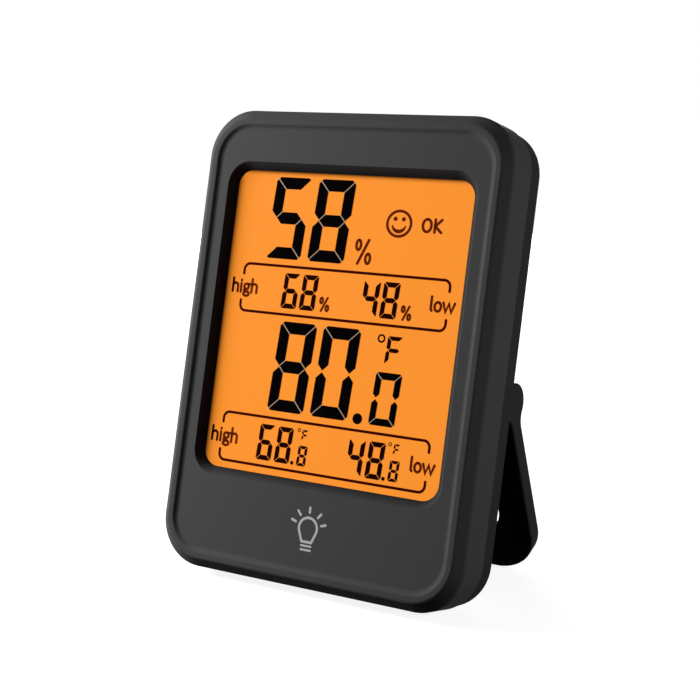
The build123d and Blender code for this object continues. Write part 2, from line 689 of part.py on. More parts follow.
def controller_chip():
    """Domed resin blob over the controller die."""
    sphere = (CHIP_RADIUS**2 + CHIP_HEIGHT**2) / (2 * CHIP_HEIGHT)
    dome = Pos(BESIDE_TRAY, BOARD_BACK + CHIP_HEIGHT - sphere, CHIP_Z) * Sphere(sphere)
    return dome & rod(CHIP_RADIUS + OVERRUN, BOARD_BACK, BOARD_BACK + OVERRUN, BESIDE_TRAY, CHIP_Z)


def clock_crystal():
    """Flat can of the clock crystal."""
    length, height, width = CRYSTAL_SIZE
    return slab(length, width, CRYSTAL_ROUND, BOARD_BACK, BOARD_BACK + height, BESIDE_TRAY, CRYSTAL_Z)


def capacitors():
    """Row of chip capacitors."""
    length, height, width = CAPACITOR_SIZE
    row = []
    for place in range(CAPACITOR_COUNT):
        z = CAPACITOR_Z - place * CAPACITOR_PITCH
        row.append(
            block(
                (-BESIDE_TRAY - length / 2, BOARD_BACK, z - width / 2),
                (-BESIDE_TRAY + length / 2, BOARD_BACK + height, z + width / 2),
            )
        )
    return row


def wire_legs(x, z, spread, back):
    """Two wire legs that stand on the board."""
    return [rod(SENSOR_LEG_RADIUS, BOARD_BACK, back, x + side * spread / 2, z) for side in (-1, 1)]


def humidity_sensor():
    """Ceramic humidity plate on two legs, behind the vents."""
    length, thickness, height = SENSOR_SIZE
    front = BOARD_BACK + SENSOR_STAND
    plate = block(
        (-SENSOR_X - length / 2, front, SENSOR_Z - height / 2),
        (-SENSOR_X + length / 2, front + thickness, SENSOR_Z + height / 2),
    )
    for leg in wire_legs(-SENSOR_X, SENSOR_Z, SENSOR_LEG_SPREAD, front + thickness / 2):
        plate += leg
    return plate


def thermistor():
    """Bead thermistor on its two wires, behind the other vents."""
    middle = BOARD_BACK + BEAD_STAND + BEAD_RADIUS
    bead = Pos(SENSOR_X, middle, SENSOR_Z) * Sphere(BEAD_RADIUS)
    for leg in wire_legs(SENSOR_X, SENSOR_Z, BEAD_LEG_SPREAD, middle):
        bead += leg
    return bead


def touch_pad():
    """Foil pad behind the touch mark on the face."""
    return rod(TOUCH_RADIUS, INNER_FACE, INNER_FACE + TOUCH_SHEET, TOUCH_X, -TOUCH_DROP)


def touch_strip():
    """Bent metal strip that joins the touch pad to the board."""
    left = TOUCH_X - TOUCH_STRIP_WIDTH / 2
    right = TOUCH_X + TOUCH_STRIP_WIDTH / 2
    front = INNER_FACE + TOUCH_SHEET
    low = -TOUCH_DROP - TOUCH_STRIP_SHEET
    high = low + TOUCH_STRIP_LENGTH
    strip = block((left, front, low), (right, front + TOUCH_STRIP_SHEET, high))
    strip += block((left, front, high - TOUCH_STRIP_SHEET), (right, BOARD_FRONT, high))
    strip += block((left, BOARD_FRONT - TOUCH_STRIP_SHEET, low), (right, BOARD_FRONT, high))
    return strip


def switch_body(x):
    """Square switch housing with the well that its stem sinks into."""
    half = SWITCH_SIZE / 2
    top = BOARD_BACK + SWITCH_HEIGHT
    floor = top - STEM_DEPTH - BUTTON_TRAVEL - STEM_CLEARANCE
    body = block((x - half, BOARD_BACK, BUTTON_Z - half), (x + half, top, BUTTON_Z + half))
    return body - rod(STEM_RADIUS + STEM_CLEARANCE, floor, top + OVERRUN, x, BUTTON_Z)


def switch_stem(x):
    """Round stem of a switch, from inside its well to the button's flange."""
    top = BOARD_BACK + SWITCH_HEIGHT
    return rod(STEM_RADIUS, top - STEM_DEPTH, flange_front(), x, BUTTON_Z)


def flange_front():
    """Depth of the front of a button's flange."""
    return COVER_INSIDE - BUTTON_CLEARANCE - FLANGE_THICKNESS


def rear_button(x):
    """Round button cap with a flange that keeps it in the cover."""
    cap = rod(BUTTON_RADIUS, flange_front(), BACK_DEPTH + BUTTON_PROUD, x, BUTTON_Z)
    cap = fillet(edges_at(cap, BACK_DEPTH + BUTTON_PROUD), BUTTON_ROUND)
    return cap + rod(FLANGE_RADIUS, flange_front(), flange_front() + FLANGE_THICKNESS, x, BUTTON_Z)


def screw(x, z, seat, length):
    """Cross-head screw with its head seated at one depth and its point to the front."""
    head = rod(HEAD_RADIUS, seat, seat + HEAD_HEIGHT, x, z)
    head = fillet(edges_at(head, seat + HEAD_HEIGHT), HEAD_ROUND)
    head += rod(SCREW_RADIUS, seat - length, seat + HEAD_HEIGHT / 2, x, z)
    reach = HEAD_RADIUS - HEAD_ROUND
    half = CROSS_WIDTH / 2
    floor = seat + HEAD_HEIGHT - CROSS_DEPTH
    head -= block((x - reach, floor, z - half), (x + reach, floor + OVERRUN, z + half))
    head -= block((x - half, floor, z - reach), (x + half, floor + OVERRUN, z + reach))
    return head


def cell_ends(side):
    """Lower and upper end of a cell's can: the left cell stands up, the right one down."""
    if side < 0:
        top = TRAY_TOP - CONTACT_SHEET - CELL_NUB_LENGTH
        return top - CELL_LENGTH, top
    low = -TRAY_BOTTOM + CONTACT_SHEET + CELL_NUB_LENGTH
    return low, low + CELL_LENGTH


def upright_rod(radius, low, high, x, y):
    """Round rod along the height."""
    return Pos(x, y, (low + high) / 2) * Cylinder(radius, high - low)


def battery_cell(side):
    """One small round cell with rounded ends and its raised pole."""
    low, high = cell_ends(side)
    x = side * CELL_X
    can = upright_rod(CELL_RADIUS, low, high, x, CELL_Y)
    can = fillet(can.edges().filter_by(GeomType.CIRCLE), CELL_ROUND)
    if side < 0:
        return can + upright_rod(CELL_NUB_RADIUS, high, high + CELL_NUB_LENGTH, x, CELL_Y)
    return can + upright_rod(CELL_NUB_RADIUS, low - CELL_NUB_LENGTH, low, x, CELL_Y)


def contact_plate(left, right, low):
    """Upright contact sheet against an end wall of the tray, between two sides."""
    front = CELL_Y - CONTACT_HEIGHT / 2
    return block((left, front, low), (right, front + CONTACT_HEIGHT, low + CONTACT_SHEET))


def contact_leaf(x, base, tip):
    """Bent leaf that presses on a cell's flat end, from its plate to the cell."""
    rise = (CONTACT_HEIGHT - CONTACT_SHEET) / 2
    toward = 1 if tip > base else -1
    sheet = toward * CONTACT_SHEET
    profile = [
        (CELL_Y - rise, base),
        (CELL_Y - rise + 2 * CONTACT_SHEET, base),
        (CELL_Y, tip - sheet),
        (CELL_Y + rise / 2, (base + tip) / 2),
        (CELL_Y + rise / 2, (base + tip) / 2 + sheet),
        (CELL_Y, tip),
        (CELL_Y - rise, base + sheet),
    ]
    side_view = Plane(origin=(x, 0, 0), x_dir=(0, 1, 0), z_dir=(1, 0, 0))
    face = make_face(side_view * Polyline(*profile, close=True))
    return extrude(face, amount=LEAF_WIDTH / 2, both=True)


def tail(x):
    """Narrow tail from a plate at the tray's upper end through the floor to the board."""
    half = TAIL_WIDTH / 2
    return block((x - half, BOARD_BACK, TRAY_TOP - CONTACT_SHEET), (x + half, CELL_Y, TRAY_TOP))


def positive_terminal():
    """Plate that the left cell's pole touches, with a tail to the board."""
    half = CONTACT_WIDTH / 2
    return contact_plate(-CELL_X - half, -CELL_X + half, TRAY_TOP - CONTACT_SHEET) + tail(-CELL_X)


def negative_terminal():
    """Plate and leaf that press on the right cell's flat end, with a tail to the board."""
    half = CONTACT_WIDTH / 2
    plate = contact_plate(CELL_X - half, CELL_X + half, TRAY_TOP - CONTACT_SHEET) + tail(CELL_X)
    return plate + contact_leaf(CELL_X, TRAY_TOP - CONTACT_SHEET, cell_ends(1)[1] + LEAF_GAP)


def contact_bridge():
    """Plate across the lower end that joins the two cells, with a leaf for the left one."""
    half = CONTACT_WIDTH / 2
    plate = contact_plate(-CELL_X - half, CELL_X + half, -TRAY_BOTTOM)
    return plate + contact_leaf(-CELL_X, -TRAY_BOTTOM + CONTACT_SHEET, cell_ends(-1)[0] - LEAF_GAP)


def group(solids):
    """Separate solids kept together in one node."""
    return Compound([solid.solid() for solid in solids])


def height_of_ground():
    """Height of the ground line after the lean, through the heel's land and the foot's land."""
    return HEEL_Z * cos(LEAN) - HEEL_Y * sin(LEAN)


def lean_back(shape):
    """Lean an upright piece back and set it on the ground."""
    return Pos(0, 0, -height_of_ground()) * Rot(-degrees(LEAN), 0, 0) * shape


def level_land(shape):
    """Cut the flat land on which a leaned piece touches the ground."""
    side = 2 * CASE_HEIGHT
    return shape - Pos(0, 0, -side / 2) * Box(side, side, side)


pieces = {
    "front_case": front_case(),
    "back_cover": back_cover(),
    "battery_door": battery_door(),
    "stand": stand(),
    "lens_tape": lens_tape(),
    "window_lens": window_lens(),
    "display_holder": display_holder(),
    "connector_strip": connector_strip(),
    "backlight_lamps": group(backlight_lamps()),
    "circuit_board": circuit_board(),
    "controller_chip": controller_chip(),
    "clock_crystal": clock_crystal(),
    "capacitors": group(capacitors()),
    "humidity_sensor": humidity_sensor(),
    "thermistor": thermistor(),
    "touch_pad": touch_pad(),
    "touch_strip": touch_strip(),
    "switch_bodies": group([switch_body(-BUTTON_X), switch_body(BUTTON_X)]),
    "unit_stem": switch_stem(-BUTTON_X),
    "unit_button": rear_button(-BUTTON_X),
    "clear_stem": switch_stem(BUTTON_X),
    "clear_button": rear_button(BUTTON_X),
    "case_screws": group([screw(x, z, SCREW_SEAT, CASE_SCREW_LENGTH) for x, z in CASE_SCREW_PLACES]),
    "board_screws": group([screw(x, z, BOARD_BACK, BOARD_SCREW_LENGTH) for x, z in BOARD_SCREW_PLACES]),
    "battery_cells": group([battery_cell(-1), battery_cell(1)]),
    "positive_terminal": positive_terminal(),
    "negative_terminal": negative_terminal(),
    "contact_bridge": contact_bridge(),
}
pieces.update(display_stack())

leaned = {name: lean_back(shape) for name, shape in pieces.items()}
for name in ("back_cover", "stand"):
    leaned[name] = level_land(leaned[name])

reach = [shape.bounding_box() for shape in leaned.values()]
middle_y = (min(box.min.Y for box in reach) + max(box.max.Y for box in reach)) / 2
os.makedirs("parts", exist_ok=True)
for name, shape in leaned.items():
    export_step(Pos(0, -middle_y, 0) * shape, f"parts/{name}.step")
print("lean", round(degrees(LEAN), 3), "middle depth", round(middle_y, 4), "pieces", len(leaned))
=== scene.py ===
import json
from functools import partial
from math import cos, pi, radians, sin, sqrt

import bmesh
import bpy
from mathutils import Euler, Matrix, Vector


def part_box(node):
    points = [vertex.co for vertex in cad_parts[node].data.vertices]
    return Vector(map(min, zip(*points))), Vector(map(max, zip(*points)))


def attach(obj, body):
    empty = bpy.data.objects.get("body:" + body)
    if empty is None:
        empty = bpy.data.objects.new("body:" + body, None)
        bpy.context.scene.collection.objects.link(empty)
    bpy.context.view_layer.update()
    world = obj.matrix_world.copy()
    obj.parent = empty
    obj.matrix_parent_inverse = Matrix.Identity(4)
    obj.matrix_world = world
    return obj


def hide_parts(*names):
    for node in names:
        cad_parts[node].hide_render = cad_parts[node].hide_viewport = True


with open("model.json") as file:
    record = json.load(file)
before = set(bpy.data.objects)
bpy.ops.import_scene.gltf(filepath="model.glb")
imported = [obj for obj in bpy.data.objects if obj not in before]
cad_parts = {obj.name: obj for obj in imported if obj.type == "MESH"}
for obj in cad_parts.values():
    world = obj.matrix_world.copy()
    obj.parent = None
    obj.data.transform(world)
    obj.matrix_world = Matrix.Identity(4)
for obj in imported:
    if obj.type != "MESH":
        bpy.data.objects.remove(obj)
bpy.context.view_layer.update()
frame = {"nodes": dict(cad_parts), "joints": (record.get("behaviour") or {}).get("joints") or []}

# Front case: the bevelled outer shell with its raised rim, dished face and window opening.
# Charcoal plastic from a mould with a fine satin texture. Every other piece is set in from
# behind, and four screws close it.
charcoal = (0.056, 0.056, 0.057)

# The case leans back, so places are given in its own space: X across, Y from the rim's front to
# the back, Z up, and zero at the middle of the rim. The joints say how that space lies.
joints = {joint["name"]: joint for joint in frame["joints"]}
rightward = Vector((1, 0, 0))
upward = -Vector(joints["door_slide"]["axis"])
rearward = -Vector(joints["unit_press"]["axis"])
hinge_depth = 0.01622
hinge_drop = 0.005
hinge_middle = Vector(joints["stand_fold"]["pos_m"])
rim_middle = hinge_middle - rearward * hinge_depth + upward * hinge_drop
case_turn = Matrix((rightward, rearward, upward)).transposed()
case_space = Matrix.Translation(rim_middle) @ case_turn.to_4x4()


def effect_group(name, inputs, outputs):
    """Shader group with named number and colour sockets, and its two end nodes."""
    group = bpy.data.node_groups.new(name, "ShaderNodeTree")
    kinds = {"colour": "NodeSocketColor", "number": "NodeSocketFloat"}
    for label, kind in inputs:
        group.interface.new_socket(label, in_out="INPUT", socket_type=kinds[kind])
    for label, kind in outputs:
        group.interface.new_socket(label, in_out="OUTPUT", socket_type=kinds[kind])
    entry = group.nodes.new("NodeGroupInput")
    leave = group.nodes.new("NodeGroupOutput")
    return group, entry, leave


def maths(tree, operation, first, second=0, clamp=False):
    """Math node whose two inputs are sockets or numbers."""
    node = tree.nodes.new("ShaderNodeMath")
    node.operation = operation
    node.use_clamp = clamp
    for socket, value in zip(node.inputs, (first, second)):
        if isinstance(value, (int, float)):
            socket.default_value = value
        else:
            tree.links.new(value, socket)
    return node.outputs[0]


def noise(tree, size, detail):
    """Noise over the object's own coordinates, with features of about one size in metres."""
    place = tree.nodes.new("ShaderNodeTexCoord")
    node = tree.nodes.new("ShaderNodeTexNoise")
    node.inputs["Detail"].default_value = detail
    tree.links.new(place.outputs["Object"], node.inputs["Vector"])
    if isinstance(size, (int, float)):
        node.inputs["Scale"].default_value = 1 / size
    else:
        tree.links.new(maths(tree, "DIVIDE", 1, size), node.inputs["Scale"])
    return node.outputs["Fac"]


def tinted(tree, colour, mask, dark_share):
    """Colour that stays as it is where a mask is one, and loses a share of its light where it is zero."""
    kept_part = maths(tree, "MULTIPLY", mask, dark_share)
    level = maths(tree, "ADD", kept_part, maths(tree, "SUBTRACT", 1, dark_share))
    shade = tree.nodes.new("ShaderNodeCombineColor")
    for channel in shade.inputs:
        tree.links.new(level, channel)
    node = tree.nodes.new("ShaderNodeMix")
    node.data_type = "RGBA"
    node.blend_type = "MULTIPLY"
    node.inputs["Factor"].default_value = 1
    tree.links.new(colour, node.inputs["A"])
    tree.links.new(shade.outputs[0], node.inputs["B"])
    return node.outputs["Result"]


moulded, entry, leave = effect_group(
    "moulded texture",
    [("Colour", "colour"), ("Grain size", "number"), ("Mottle", "number"), ("Roughness", "number")],
    [("Colour", "colour"), ("Roughness", "number"), ("Height", "number")],
)
cloud_size = 0.006
roughness_spread = 0.12
noise_middle = 0.5
grain = noise(moulded, entry.outputs["Grain size"], detail=3)
cloud = noise(moulded, cloud_size, detail=2)
speckle = maths(moulded, "MULTIPLY", grain, maths(moulded, "ADD", noise_middle, cloud))
speckled = tinted(moulded, entry.outputs["Colour"], speckle, entry.outputs["Mottle"])
moulded.links.new(speckled, leave.inputs["Colour"])
swing = maths(moulded, "MULTIPLY", maths(moulded, "SUBTRACT", cloud, noise_middle), roughness_spread)
uneven = maths(moulded, "ADD", entry.outputs["Roughness"], swing)
moulded.links.new(uneven, leave.inputs["Roughness"])
moulded.links.new(grain, leave.inputs["Height"])


def surface(name, group, values, bump=0, **constants):
    """Material that shows one effect group. Constants go on the shader's own sockets."""
    material = bpy.data.materials.new(name)
    material.use_nodes = True
    tree = material.node_tree
    shader = tree.nodes["Principled BSDF"]
    for label, value in constants.items():
        shader.inputs[label.replace("_", " ")].default_value = value
    effect = tree.nodes.new("ShaderNodeGroup")
    effect.node_tree = group
    for label, value in values.items():
        effect.inputs[label].default_value = value
    sockets = {"Colour": "Base Color", "Roughness": "Roughness", "Glow": "Emission Color"}
    for output, label in sockets.items():
        if output in effect.outputs:
            tree.links.new(effect.outputs[output], shader.inputs[label])
    if bump:
        relief = tree.nodes.new("ShaderNodeBump")
        relief.inputs["Distance"].default_value = bump
        tree.links.new(effect.outputs["Height"], relief.inputs["Height"])
        tree.links.new(relief.outputs["Normal"], shader.inputs["Normal"])
    return material


def plastic(name, colour, grain_size=0.00022, mottle=0.1, roughness=0.55, bump=0.00001, gloss=0.002):
    """Moulded plastic of one colour."""
    values = {"Colour": (*colour, 1), "Grain size": grain_size, "Mottle": mottle, "Roughness": roughness}
    return surface(name, moulded, values, bump, Specular_IOR_Level=gloss)


def dress(node, material):
    """A CAD piece keeps its shape and takes a material."""
    piece = frame["nodes"][node]
    piece.data.materials.clear()
    piece.data.materials.append(material)


# The slope round the window opening has painted shade, darker down the slope towards the display
slope_start, slope_end = 0.00047, 0.0019
slope_half_width, slope_half_height = 0.0255, 0.0365
first_shade, shade_darkening = 0.4, 0.7


def slope_painted_shade(tree):
    """Painted shade mask that rises down the slope from its first share to one, and is zero off the slope.
    """
    spot = tree.nodes.new("ShaderNodeTexCoord")

    def along(direction):
        """Distance from the rim's middle in one direction of the case."""
        node = tree.nodes.new("ShaderNodeVectorMath")
        node.operation = "DOT_PRODUCT"
        tree.links.new(spot.outputs["Object"], node.inputs[0])
        node.inputs[1].default_value = direction
        return maths(tree, "SUBTRACT", node.outputs["Value"], rim_middle.dot(direction))

    down_slope = maths(tree, "SUBTRACT", along(rearward), slope_start)
    sideways = maths(tree, "ABSOLUTE", along(rightward))
    upwards = maths(tree, "ABSOLUTE", along(upward))
    # This mask is painted shade, growing from the first shade at the slope's top to one at its foot
    ink = maths(tree, "DIVIDE", down_slope, slope_end - slope_start, clamp=True)
    ink = maths(tree, "ADD", maths(tree, "MULTIPLY", ink, 1 - first_shade), first_shade)
    ink = maths(tree, "MULTIPLY", ink, maths(tree, "GREATER_THAN", down_slope, 0))
    ink = maths(tree, "MULTIPLY", ink, maths(tree, "LESS_THAN", sideways, slope_half_width))
    return maths(tree, "MULTIPLY", ink, maths(tree, "LESS_THAN", upwards, slope_half_height))


shell_plastic = plastic("charcoal satin plastic", charcoal)
tree = shell_plastic.node_tree
base_colour = tree.nodes["Principled BSDF"].inputs["Base Color"]
moulded_colour = base_colour.links[0].from_socket
# Painted shade: the case colour is darkened down the window slope
unshaded = maths(tree, "SUBTRACT", 1, slope_painted_shade(tree))
tree.links.new(tinted(tree, moulded_colour, unshaded, shade_darkening), base_colour)
dress("front_case", shell_plastic)

# Touch mark: a lamp with five rays, printed on the face under the window.
# Light grey ink, screen printed. A touch field lies behind it.
ink_grey = (0.42, 0.42, 0.43)
face_depth = 0.00045
print_thickness = 0.00002
mark_line = 0.00043
bulb_x, bulb_z, bulb_radius = 0.00068, -0.02983, 0.00175
bulb_neck, bulb_foot = 0.00094, -0.0321
shoulder_turn = 25
cap_pitch, cap_line = 1.55 * mark_line, 0.8 * mark_line
ray_inner, ray_outer = 0.00262, 0.00345
ray_turns = (17, 50, 90, 130, 162)


def new_piece(name, draw, material):
    """Piece of the case, whose mesh is drawn in the case's own space."""
    mesh = bpy.data.meshes.new(name)
    bm = bmesh.new()
    draw(bm)
    bmesh.ops.recalc_face_normals(bm, faces=bm.faces)
    bm.to_mesh(mesh)
    bm.free()
    piece = bpy.data.objects.new(name, mesh)
    bpy.context.scene.collection.objects.link(piece)
    piece.matrix_world = case_space
    mesh.materials.append(material)
    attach(piece, "case")
    return piece


def arc(x, z, across, upright, start, end, steps=16):
    """Points on an ellipse between two angles in degrees."""
    turns = [radians(start + (end - start) * i / steps) for i in range(steps + 1)]
    return [(x + across * cos(turn), z + upright * sin(turn)) for turn in turns]


tip_steps = 4
tip_bluntness = 0.1
sharpest_mitre = 0.5


def round_tip(end, inner, half):
    """Places and half widths of the half circle beyond one end of a line, from the line outwards."""
    out = (Vector(end) - Vector(inner)).normalized()
    turns = [step / tip_steps * pi / 2 for step in range(1, tip_steps + 1)]
    return [(Vector(end) + out * sin(turn) * half, max(cos(turn), tip_bluntness) * half) for turn in turns]


def add_ribbon(bm, points, width, front, back, closed=False, swell=0):
    """Flat line along a path, mitred at its corners, round at its ends and wider midway by a swell."""
    last = len(points) - 1
    path = [(Vector(point), width / 2 * (1 + swell * sin(pi * i / last))) for i, point in enumerate(points)]
    if not closed:
        first_tip = round_tip(points[0], points[1], width / 2)
        last_tip = round_tip(points[-1], points[-2], width / 2)
        path = first_tip[::-1] + path + last_tip
    places = [place for place, _ in path]
    before = places[-1] if closed else 2 * places[0] - places[1]
    after = places[0] if closed else 2 * places[-1] - places[-2]
    places = [before] + places + [after]
    sections = []
    for i, (place, half) in enumerate(path):
        arriving = (place - places[i]).normalized()
        leaving = (places[i + 2] - place).normalized()
        forward = (arriving + leaving).normalized()
        side = Vector((-forward.y, forward.x))
        reach = half / max(side.dot(Vector((-arriving.y, arriving.x))), sharpest_mitre)
        left, right = place + side * reach, place - side * reach
        corners = ((left, front), (right, front), (right, back), (left, back))
        sections.append([bm.verts.new((corner.x, depth, corner.y)) for corner, depth in corners])
    for i in range(len(path) if closed else len(path) - 1):
        section, following = sections[i], sections[(i + 1) % len(path)]
        for k in range(4):
            m = (k + 1) % 4
            bm.faces.new((section[k], section[m], following[m], following[k]))
    if not closed:
        bm.faces.new(sections[0])
        bm.faces.new(list(reversed(sections[-1])))


def touch_mark(bm):
    """Outline of the bulb, the two lines of its cap, and five rays."""
    depths = (face_depth - print_thickness, face_depth)
    globe = arc(bulb_x, bulb_z, bulb_radius, bulb_radius, 180 + shoulder_turn, -shoulder_turn, 28)
    neck_left, neck_right = bulb_x - bulb_neck, bulb_x + bulb_neck
    outline = globe + [(neck_right, bulb_foot), (neck_left, bulb_foot)]
    add_ribbon(bm, outline, mark_line, *depths, closed=True)
    for row in (1, 2):
        height = bulb_foot - row * cap_pitch
        add_ribbon(bm, [(neck_left, height), (neck_right, height)], cap_line, *depths)
    centre = Vector((bulb_x, bulb_z))
    for turn in ray_turns:
        away = Vector((cos(radians(turn)), sin(radians(turn))))
        add_ribbon(bm, [centre + away * ray_inner, centre + away * ray_outer], mark_line, *depths)


grey_ink = plastic("light grey ink", ink_grey, grain_size=0.00008, mottle=0.12, bump=0.000002)
new_piece("touch_mark", touch_mark, grey_ink)

# Window lens and its tape: a clear flat sheet behind the opening, held by a black tape frame.
# Cut acrylic with an anti-glare coat, so that it hardly shows from the front.
lens_haze, lens_edge_haze, lens_edge_power = 0.03, 0.4, 3
streak_size = 0.004

film, entry, leave = effect_group(
    "even film", [("Colour", "colour"), ("Streak", "number")], [("Colour", "colour")],
)
streak = noise(film, streak_size, detail=2)
streaked = tinted(film, entry.outputs["Colour"], streak, entry.outputs["Streak"])
film.links.new(streaked, leave.inputs["Colour"])


def smooth_sheet(name, colour, streak_share, roughness, **constants):
    """Glass, film or sheet of one colour, with faint streaks."""
    values = {"Colour": (*colour, 1), "Streak": streak_share}
    return surface(name, film, values, Roughness=roughness, **constants)


acrylic = (0.004, 0.004, 0.004)
lens = smooth_sheet("clear acrylic", acrylic, streak_share=0.1, roughness=0.06, Specular_IOR_Level=0.04)
tree = lens.node_tree
facing = tree.nodes.new("ShaderNodeLayerWeight")
glance = maths(tree, "POWER", facing.outputs["Facing"], lens_edge_power)
haze = maths(tree, "ADD", maths(tree, "MULTIPLY", glance, lens_edge_haze), lens_haze)
tree.links.new(haze, tree.nodes["Principled BSDF"].inputs["Alpha"])
dress("window_lens", lens)
dress("lens_tape", plastic("black tape", (0.006, 0.006, 0.006), roughness=0.7))

# Display film: the front of the display, which carries the look of the amber light behind it.
# A coloured sheet on the front glass. Its glow carries a painted shadow along its left and top edges, where
# the opening's edges stand before the film.
amber_lit = (0.985, 0.298, 0.03)
glow_strength = 0.935
film_share = 0.15
sheet_front, sheet_thickness = 0.00265, 0.0002
sheet_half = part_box("front_polariser")[1].x
sheet_bottom, sheet_top = -0.0227, 0.03015
lit_left, left_shade = -0.02345, 0.0022
lit_top, top_shade = 0.0297, 0.0011
shade_depth, shade_power = 0.95, 2.5
lamp_cloud_size = 0.02

backlight, entry, leave = effect_group(
    "amber backlight", [("Colour", "colour"), ("Mottle", "number"), ("Film share", "number")],
    [("Colour", "colour"), ("Glow", "colour")],
)
broad = noise(backlight, lamp_cloud_size, detail=1)
even = tinted(backlight, entry.outputs["Colour"], broad, entry.outputs["Mottle"])
spot = backlight.nodes.new("ShaderNodeTexCoord")
parts = backlight.nodes.new("ShaderNodeSeparateXYZ")
backlight.links.new(spot.outputs["Object"], parts.inputs["Vector"])
# Painted shadow: the glow darkens towards the opening's left and top edges
from_left = maths(backlight, "SUBTRACT", parts.outputs["X"], lit_left)
from_top = maths(backlight, "SUBTRACT", lit_top, parts.outputs["Z"])
from_left = maths(backlight, "DIVIDE", from_left, left_shade)
from_top = maths(backlight, "DIVIDE", from_top, top_shade)
near_edge = maths(backlight, "MINIMUM", from_left, from_top, clamp=True)
painted_edge_shadow = maths(backlight, "POWER", maths(backlight, "SUBTRACT", 1, near_edge), shade_power)
glow = tinted(backlight, even, maths(backlight, "SUBTRACT", 1, painted_edge_shadow), shade_depth)
film_colour = tinted(backlight, glow, entry.outputs["Film share"], 1)
backlight.links.new(film_colour, leave.inputs["Colour"])
backlight.links.new(glow, leave.inputs["Glow"])
amber = surface(
    "lit amber display", backlight, {"Colour": (*amber_lit, 1), "Mottle": 0.03, "Film share": film_share},
    Roughness=0.5, Specular_IOR_Level=0.02, Emission_Strength=glow_strength,
)


def add_prism(bm, outline, front, back):
    """Convex flat shape between two depths."""
    near = [bm.verts.new((x, front, z)) for x, z in outline]
    far = [bm.verts.new((x, back, z)) for x, z in outline]
    bm.faces.new(near)
    bm.faces.new(list(reversed(far)))
    for i in range(len(outline)):
        j = (i + 1) % len(outline)
        bm.faces.new((near[i], far[i], far[j], near[j]))


def amber_sheet(bm):
    """Plain sheet over the whole front of the display."""
    foot = [(-sheet_half, sheet_bottom), (sheet_half, sheet_bottom)]
    head = [(sheet_half, sheet_top), (-sheet_half, sheet_top)]
    add_prism(bm, foot + head, sheet_front, sheet_front + sheet_thickness)


sheet = new_piece("amber_display", amber_sheet, amber)
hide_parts("front_polariser")

# Digits of the readouts: liquid crystal that turns dark, in up to seven bars for each digit.
# The bars are electrodes etched apart on the glass, and a pale line shows in each gap.
mark_front, gap_front, mark_back = 0.0026, 0.00262, 0.00264
segment_gap = 0.0002
chamfer_share = 0.35
digit_slope = 0.048
digit_parts = {"0": "abcdef", "4": "bcfg", "5": "acdfg", "6": "acdefg", "8": "abcdefg", "F": "aefg"}


def crystal(name, colour):
    """Liquid crystal of one darkness, even and without gloss behind the glass."""
    return plastic(name, colour, roughness=0.4, bump=0, gloss=0)


ink_black = crystal("liquid crystal black", (0.002, 0.0014, 0.0016))
ink_dark = crystal("liquid crystal dark", (0.015, 0.0014, 0.001))
gap_pale = plastic("pale gap", (0.5, 0.36, 0.26), roughness=0.5, bump=0)


def segment_outlines(width, height, stroke, gap):
    """Corners of the seven bars of an upright digit, keyed a to g, and the lines between them."""
    chamfer = chamfer_share * stroke
    cut = gap / sqrt(2)
    nick = cut / 2
    half = stroke / 2
    middle = height / 2
    top_bar = [
        (chamfer / 2 + nick, height - chamfer / 2 + nick),
        (chamfer, height),
        (width - chamfer, height),
        (width - chamfer / 2 - nick, height - chamfer / 2 + nick),
        (width - stroke - cut, height - stroke),
        (stroke + cut, height - stroke),
    ]
    upper_left = [
        (chamfer / 2 - nick, height - chamfer / 2 - nick),
        (stroke, height - stroke - cut),
        (stroke, middle + half + cut),
        (half, middle + cut),
        (0, middle + half + cut),
        (0, height - chamfer),
    ]
    waist = [
        (half + cut, middle),
        (stroke + cut, middle + half),
        (width - stroke - cut, middle + half),
        (width - half - cut, middle),
        (width - stroke - cut, middle - half),
        (stroke + cut, middle - half),
    ]

    def across(points):
        return [(width - x, z) for x, z in points]

    def under(points):
        return [(x, height - z) for x, z in points]

    bars = {
        "a": top_bar,
        "b": across(upper_left),
        "c": across(under(upper_left)),
        "d": under(top_bar),
        "e": under(upper_left),
        "f": upper_left,
        "g": waist,
    }
    corner = [(chamfer / 2, height - chamfer / 2), (stroke, height - stroke)]
    branch = [(half, middle), (stroke, middle + half)]
    seams = {
        "af": corner,
        "ab": across(corner),
        "cd": across(under(corner)),
        "de": under(corner),
        "fg": branch,
        "bg": across(branch),
        "cg": across(under(branch)),
        "eg": under(branch),
    }
    return bars, seams


def slanted(points, left, foot):
    """Points of an upright digit, moved to its place and leaned to the right."""
    return [(left + x + z * digit_slope, foot + z) for x, z in points]


def add_bars(bm, bars):
    """Convex marks in the plane of the liquid crystal."""
    for bar in bars:
        add_prism(bm, bar, mark_front, mark_back)


def add_lines(bm, lines, width, front):
    """Lines of one width in the plane of the liquid crystal."""
    for line in lines:
        add_ribbon(bm, line, width, front, mark_back)


